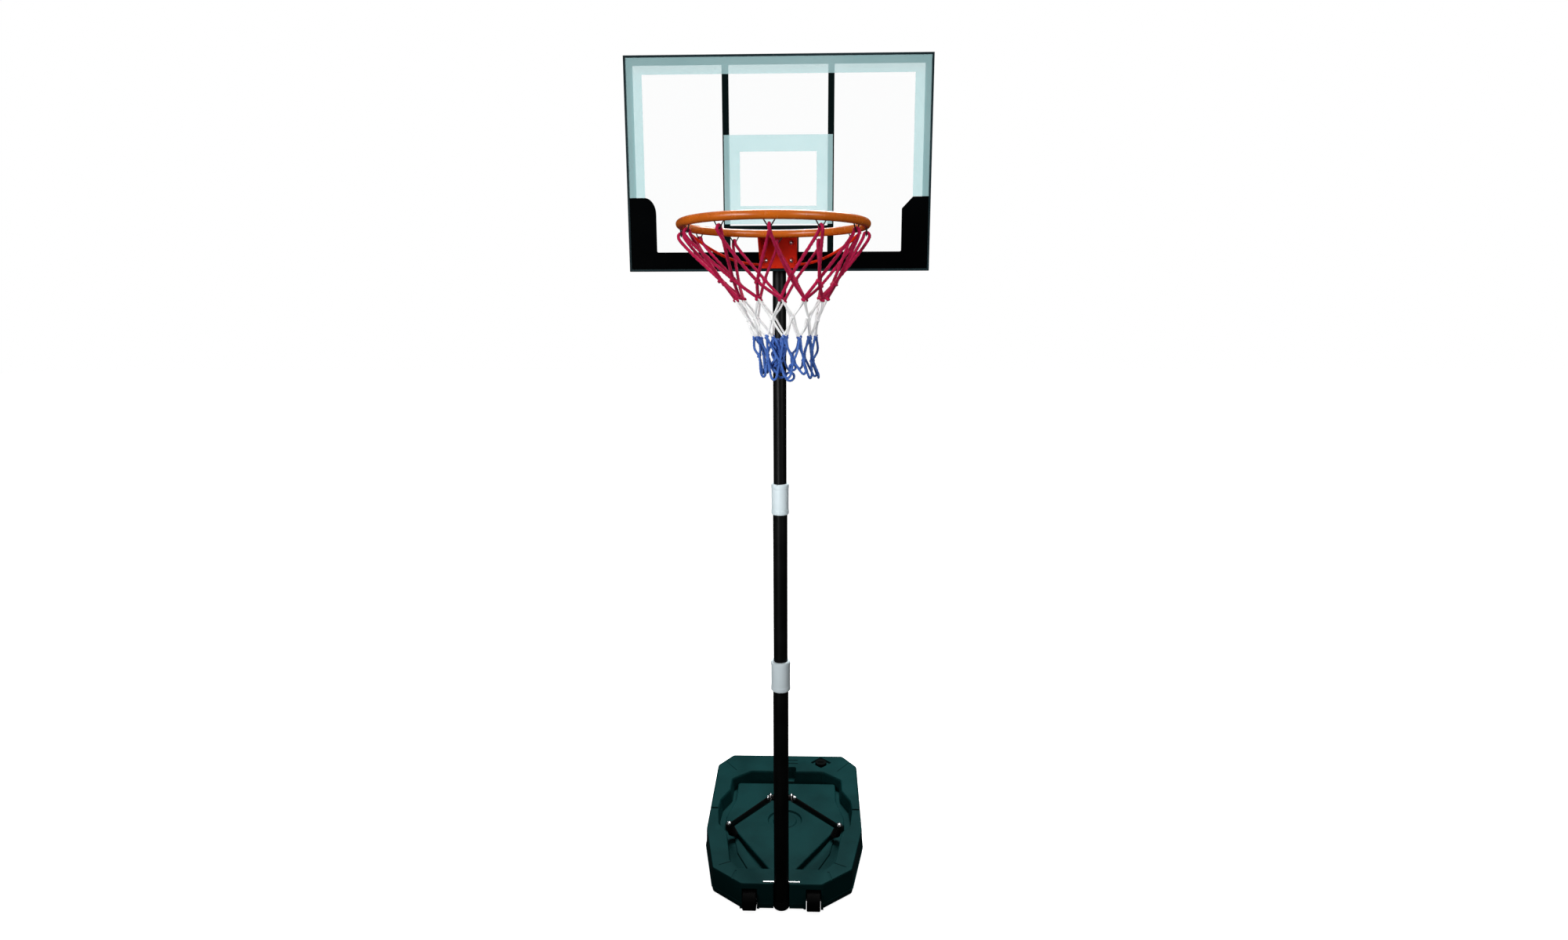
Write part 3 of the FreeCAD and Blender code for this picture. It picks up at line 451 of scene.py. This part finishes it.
class Rope:
    """Collects twisted cords of one thickness into one mesh."""

    def __init__(self, radius):
        self.radius = radius
        self.vertices, self.faces = [], []

    def add(self, points):
        path = spline_points([Vector(p) for p in points], ROPE_STEP)
        tangent = (path[1] - path[0]).normalized()
        across = tangent.orthogonal().normalized()
        start, run = len(self.vertices), 0.0
        for i, place in enumerate(path):
            ahead = path[min(i + 1, len(path) - 1)] - path[max(i - 1, 0)]
            ahead.normalize()
            across = (tangent.rotation_difference(ahead) @ across).normalized()
            tangent = ahead
            side = tangent.cross(across)
            if i:
                run += (place - path[i - 1]).length
            twist = 2 * math.pi * run / TWIST_PITCH
            for k in range(ROPE_SIDES):
                a = 2 * math.pi * k / ROPE_SIDES
                r = self.radius * (1 - LOBE_DEPTH + LOBE_DEPTH * math.cos(LOBES * (a - twist)))
                self.vertices.append(place + (across * math.cos(a) + side * math.sin(a)) * r)
        for i in range(len(path) - 1):
            for k in range(ROPE_SIDES):
                n = (k + 1) % ROPE_SIDES
                a, b = start + i * ROPE_SIDES, start + (i + 1) * ROPE_SIDES
                self.faces.append((a + k, a + n, b + n, b + k))
        last = start + (len(path) - 1) * ROPE_SIDES
        self.faces.append(tuple(start + k for k in reversed(range(ROPE_SIDES))))
        self.faces.append(tuple(last + k for k in range(ROPE_SIDES)))

    def knot(self, place, outward):
        """One tight turn of cord round a crossing."""
        side = outward.cross(Vector((0, 0, 1)))
        points = []
        for i in range(KNOT_STEPS + 1):
            a = 2 * math.pi * KNOT_TURNS * i / KNOT_STEPS
            lift = Vector((0, 0, self.radius * (2 * i / KNOT_STEPS - 1)))
            points.append(place + (outward * math.cos(a) + side * math.sin(a)) * self.radius * 0.75 + lift)
        self.add(points)


def around(angle, radius, z, drift=0.0):
    """A place at an angle round the ring's axis, from the front, at height z."""
    return Vector(
        (
            RING_CENTRE.x + radius * math.sin(angle) + drift,
            RING_CENTRE.y - radius * math.cos(angle),
            z,
        )
    )


def net_grid():
    """Places of the knots, by row and loop. The first row lies half a loop round from the hooks."""
    rng = random.Random(NET_SEED)
    rows = []
    for k, (z, radius, drift, scatter, lift) in enumerate(ROWS):
        row = []
        for i in range(LOOPS):
            angle = 2 * math.pi * (i + 0.5 * ((k + 1) % 2)) / LOOPS
            angle += rng.uniform(-1, 1) * scatter / radius
            r = radius + rng.uniform(-1, 1) * scatter
            row.append(around(angle, r, z + rng.uniform(-1, 1) * lift, drift))
        rows.append(row)
    return rows


def strand(grid, start, turn):
    """The knots that one cord meets below hook start, stepping right or left by half a loop a row."""
    points = []
    for k, row in enumerate(grid):
        place = start * 2 + turn * (k + 1)
        index = (place - (k + 1) % 2) // 2 % LOOPS
        points.append(row[index] + radial(row[index]) * turn * CORD_PASS)
    return points


def radial(place):
    """The level direction from the ring's axis out through a place."""
    return Vector((place.x - RING_CENTRE.x, place.y - RING_CENTRE.y, 0)).normalized()


def over_hook(i, cord_r):
    """The bight of cord i, from inside the ring up over its wire hook and down outside."""
    out = around(2 * math.pi * i / LOOPS, 1.0, RING_CENTRE.z) - RING_CENTRE
    hook = RING_CENTRE + out * RING_R
    top = Vector((hook.x, hook.y, HOOK_LOW.z + HOOK_SEAT + cord_r))
    reach = cord_r + HOOK_CLEAR
    steps = ((-1.1, -0.009), (-0.8, -0.001), (0.0, 0.0016), (0.8, -0.001), (1.1, -0.009))
    return [top + out * reach * far + Vector((0, 0, rise)) for far, rise in steps]


def slack(points, rng, sag):
    """Add a slightly wandering middle to each length between knots."""
    out = [points[0]]
    for a, b in zip(points, points[1:]):
        drop = Vector((0, 0, rng.uniform(-sag, 0)))
        out += [(a + b) / 2 + radial(a) * rng.uniform(-sag, sag) + drop, b]
    return out


def make_net():
    """Cords in three colours, each hung over a hook by its middle and knotted to its neighbours."""
    rng = random.Random(NET_SEED + 1)
    grid = net_grid()
    ropes = {name: Rope(radius) for name, radius in CORD_R.items()}
    for i in range(LOOPS):
        left, right = strand(grid, i, -1), strand(grid, i, 1)
        top = over_hook(i, CORD_R["red"])
        first, second = left[: LAST_RED + 1][::-1], right[: LAST_RED + 1]
        ropes["red"].add([*first, *top, *second])
        for knots in (left, right):
            ropes["white"].add(slack(knots[LAST_RED : LAST_WHITE + 1], rng, 0.003))
            ropes["blue"].add(slack(knots[LAST_WHITE:], rng, 0.008))
    for k, row in enumerate(grid):
        name = "red" if k <= LAST_RED else "white" if k < LAST_WHITE else "blue"
        for place in row:
            ropes[name].knot(place, radial(place))
    tail_loops(ropes["blue"], grid[-1], rng)
    tangle(ropes["blue"], rng)
    for name, slot in (("red", "net_cord"), ("white", "cord_white"), ("blue", "cord_blue")):
        mesh = smooth_mesh(f"net_{name}", ropes[name].vertices, ropes[name].faces)
        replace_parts(add_piece(f"net_{name}", mesh, slot), "net")


def tail_loops(rope, row, rng):
    """Free loops that join neighbouring knots at the bottom, flaring out on the right."""
    for i, knot in enumerate(row):
        other = row[(i + 1) % LOOPS]
        out = radial(knot + other - RING_CENTRE)
        low = (knot + other) / 2 - Vector((0, 0, LOOP_DROP + rng.uniform(-0.014, 0.006)))
        low += out * (rng.uniform(-0.012, 0.008) + 0.016 * max(out.x, 0))
        across = (other - knot) * 0.22
        rope.add(
            [
                knot,
                knot * 0.7 + low * 0.3 - across * 0.15,
                low - across * rng.uniform(0.7, 1.1) + Vector((0, 0, 0.005)),
                low,
                low + across * rng.uniform(0.7, 1.1) + Vector((0, 0, 0.006)),
                other * 0.7 + low * 0.3 + across * 0.15,
                other,
            ]
        )


def tangle(rope, rng):
    """Slack cord bunched at the front left of the tail, and a few curls under it."""
    middle = RING_CENTRE + Vector((BUNCH_X, BUNCH_Y, BUNCH_Z - RING_CENTRE.z))
    for _ in range(BUNCH_CORDS):
        x, points = rng.uniform(-BUNCH_HALF, BUNCH_HALF), []
        for step in range(BUNCH_POINTS):
            wander = Vector((rng.uniform(-0.010, 0.010), rng.uniform(-0.012, 0.012), 0))
            narrowing = 1 - 0.3 * step / (BUNCH_POINTS - 1)
            points.append(middle + wander + Vector((x * narrowing, 0, BUNCH_TOP - BUNCH_FALL * step)))
        rope.add(points)
    for x, z, radius in CURLS:
        centre = RING_CENTRE + Vector((x, CURL_Y, z - RING_CENTRE.z))
        points = []
        for i in range(CURL_STEPS + 1):
            a = 2 * math.pi * CURL_TURNS * i / CURL_STEPS
            points.append(centre + Vector((math.cos(a) * radius, CURL_DRIFT * i, math.sin(a) * radius)))
        rope.add(points)


# ---------------------------------------------------------------- stage
CAMERA_PLACE = Vector((0.0943, -2.7892, 2.0676))
CAMERA_AZIMUTH = math.radians(-1.739)
CAMERA_PITCH = math.radians(10.311)
CAMERA_ROLL = math.radians(-0.147)
CAMERA_LENS = 19.52


LAMPS = (
    # name, place, target, size, power and spread in degrees
    ("key", (0.3, 2.1, 5.2), (0, 0.2, 0.4), (2.4, 2.2), 330.0, 180.0),
    ("board_left", (-2.6, -3.2, 2.9), (0, -0.2, 2.4), (2.0, 2.0), 10.5, 44.0),
    ("board_right", (2.6, -3.2, 2.9), (0, -0.2, 2.4), (2.0, 2.0), 7.5, 44.0),
    ("pole", (-1.6, -3.4, 1.5), (0, -0.1, 1.3), (0.8, 1.2), 2.8, 32.0),
)
FLOOR_REACH = 30.0
FLOOR_GLOW = 0.92
# The dome brightens from DOME_DIM at the height DOME_START to DOME_BRIGHT straight up
DOME_START, DOME_DIM, DOME_BRIGHT = 0.4, 0.03, 0.45


def make_camera():
    data = bpy.data.cameras.new("camera")
    data.sensor_width = 36.0
    data.lens = CAMERA_LENS
    camera = bpy.data.objects.new("camera", data)
    bpy.context.scene.collection.objects.link(camera)
    sin_a, cos_a = math.sin(CAMERA_AZIMUTH), math.cos(CAMERA_AZIMUTH)
    level = math.cos(CAMERA_PITCH)
    ahead = Vector((sin_a * level, cos_a * level, -math.sin(CAMERA_PITCH)))
    right = Vector((cos_a, -sin_a, 0))
    up = right.cross(ahead)
    x = right * math.cos(CAMERA_ROLL) + up * math.sin(CAMERA_ROLL)
    y = up * math.cos(CAMERA_ROLL) - right * math.sin(CAMERA_ROLL)
    turn = Matrix((x, y, -ahead)).transposed().to_4x4()
    camera.matrix_world = Matrix.Translation(CAMERA_PLACE) @ turn
    bpy.context.scene.camera = camera


def area_light(name, place, target, size, power, spread):
    """A softbox. A small spread, in degrees, keeps its light on the target."""
    data = bpy.data.lights.new(name, "AREA")
    data.shape = "RECTANGLE"
    data.size, data.size_y = size
    data.energy = power
    data.spread = math.radians(spread)
    lamp = bpy.data.objects.new(name, data)
    bpy.context.scene.collection.objects.link(lamp)
    aim = Vector(target) - Vector(place)
    lamp.matrix_world = Matrix.Translation(place) @ aim.to_track_quat("-Z", "Y").to_matrix().to_4x4()


def make_floor():
    """A plain pale floor that glows a little, so that it stays white to the horizon."""
    mesh = bpy.data.meshes.new("floor")
    reach = FLOOR_REACH
    corners = [(-reach, -reach, 0), (reach, -reach, 0), (reach, reach, 0), (-reach, reach, 0)]
    mesh.from_pydata(corners, [], [(0, 1, 2, 3)])
    floor = bpy.data.objects.new("floor", mesh)
    bpy.context.scene.collection.objects.link(floor)
    paper = Nodes("floor_paper")
    paper.colour(paper.noise(0.6, 3.0), (0.90, 0.90, 0.90), (0.93, 0.93, 0.93))
    paper.set(Roughness=0.9, Emission_Color=(1.0, 1.0, 1.0, 1.0), Emission_Strength=FLOOR_GLOW)
    mesh.materials.append(paper.material)
    floor.visible_diffuse = False
    floor.visible_glossy = False


def make_world():
    """The camera sees plain white. The hoop is lit by a dome, bright overhead and dim below."""
    world = bpy.data.worlds.new("studio")
    bpy.context.scene.world = world
    world.use_nodes = True
    tree = world.node_tree
    seen = tree.nodes["Background"]
    seen.inputs["Color"].default_value = (1.0, 1.0, 1.0, 1.0)
    dome = tree.nodes.new("ShaderNodeBackground")
    place = tree.nodes.new("ShaderNodeTexCoord")
    axes = tree.nodes.new("ShaderNodeSeparateXYZ")
    tree.links.new(place.outputs["Generated"], axes.inputs["Vector"])
    height = tree.nodes.new("ShaderNodeMapRange")
    height.inputs["From Min"].default_value = DOME_START
    height.inputs["From Max"].default_value = 1.0
    height.inputs["To Min"].default_value = DOME_DIM
    height.inputs["To Max"].default_value = DOME_BRIGHT
    tree.links.new(axes.outputs["Z"], height.inputs["Value"])
    tree.links.new(height.outputs["Result"], dome.inputs["Strength"])
    path = tree.nodes.new("ShaderNodeLightPath")
    mix = tree.nodes.new("ShaderNodeMixShader")
    tree.links.new(path.outputs["Is Camera Ray"], mix.inputs["Fac"])
    tree.links.new(dome.outputs["Background"], mix.inputs[1])
    tree.links.new(seen.outputs["Background"], mix.inputs[2])
    tree.links.new(mix.outputs["Shader"], tree.nodes["World Output"].inputs["Surface"])


dress_frame()
make_prints()
make_net()
make_camera()
make_floor()
for lamp in LAMPS:
    area_light(*lamp)
make_world()
bpy.context.scene.view_settings.view_transform = "Standard"
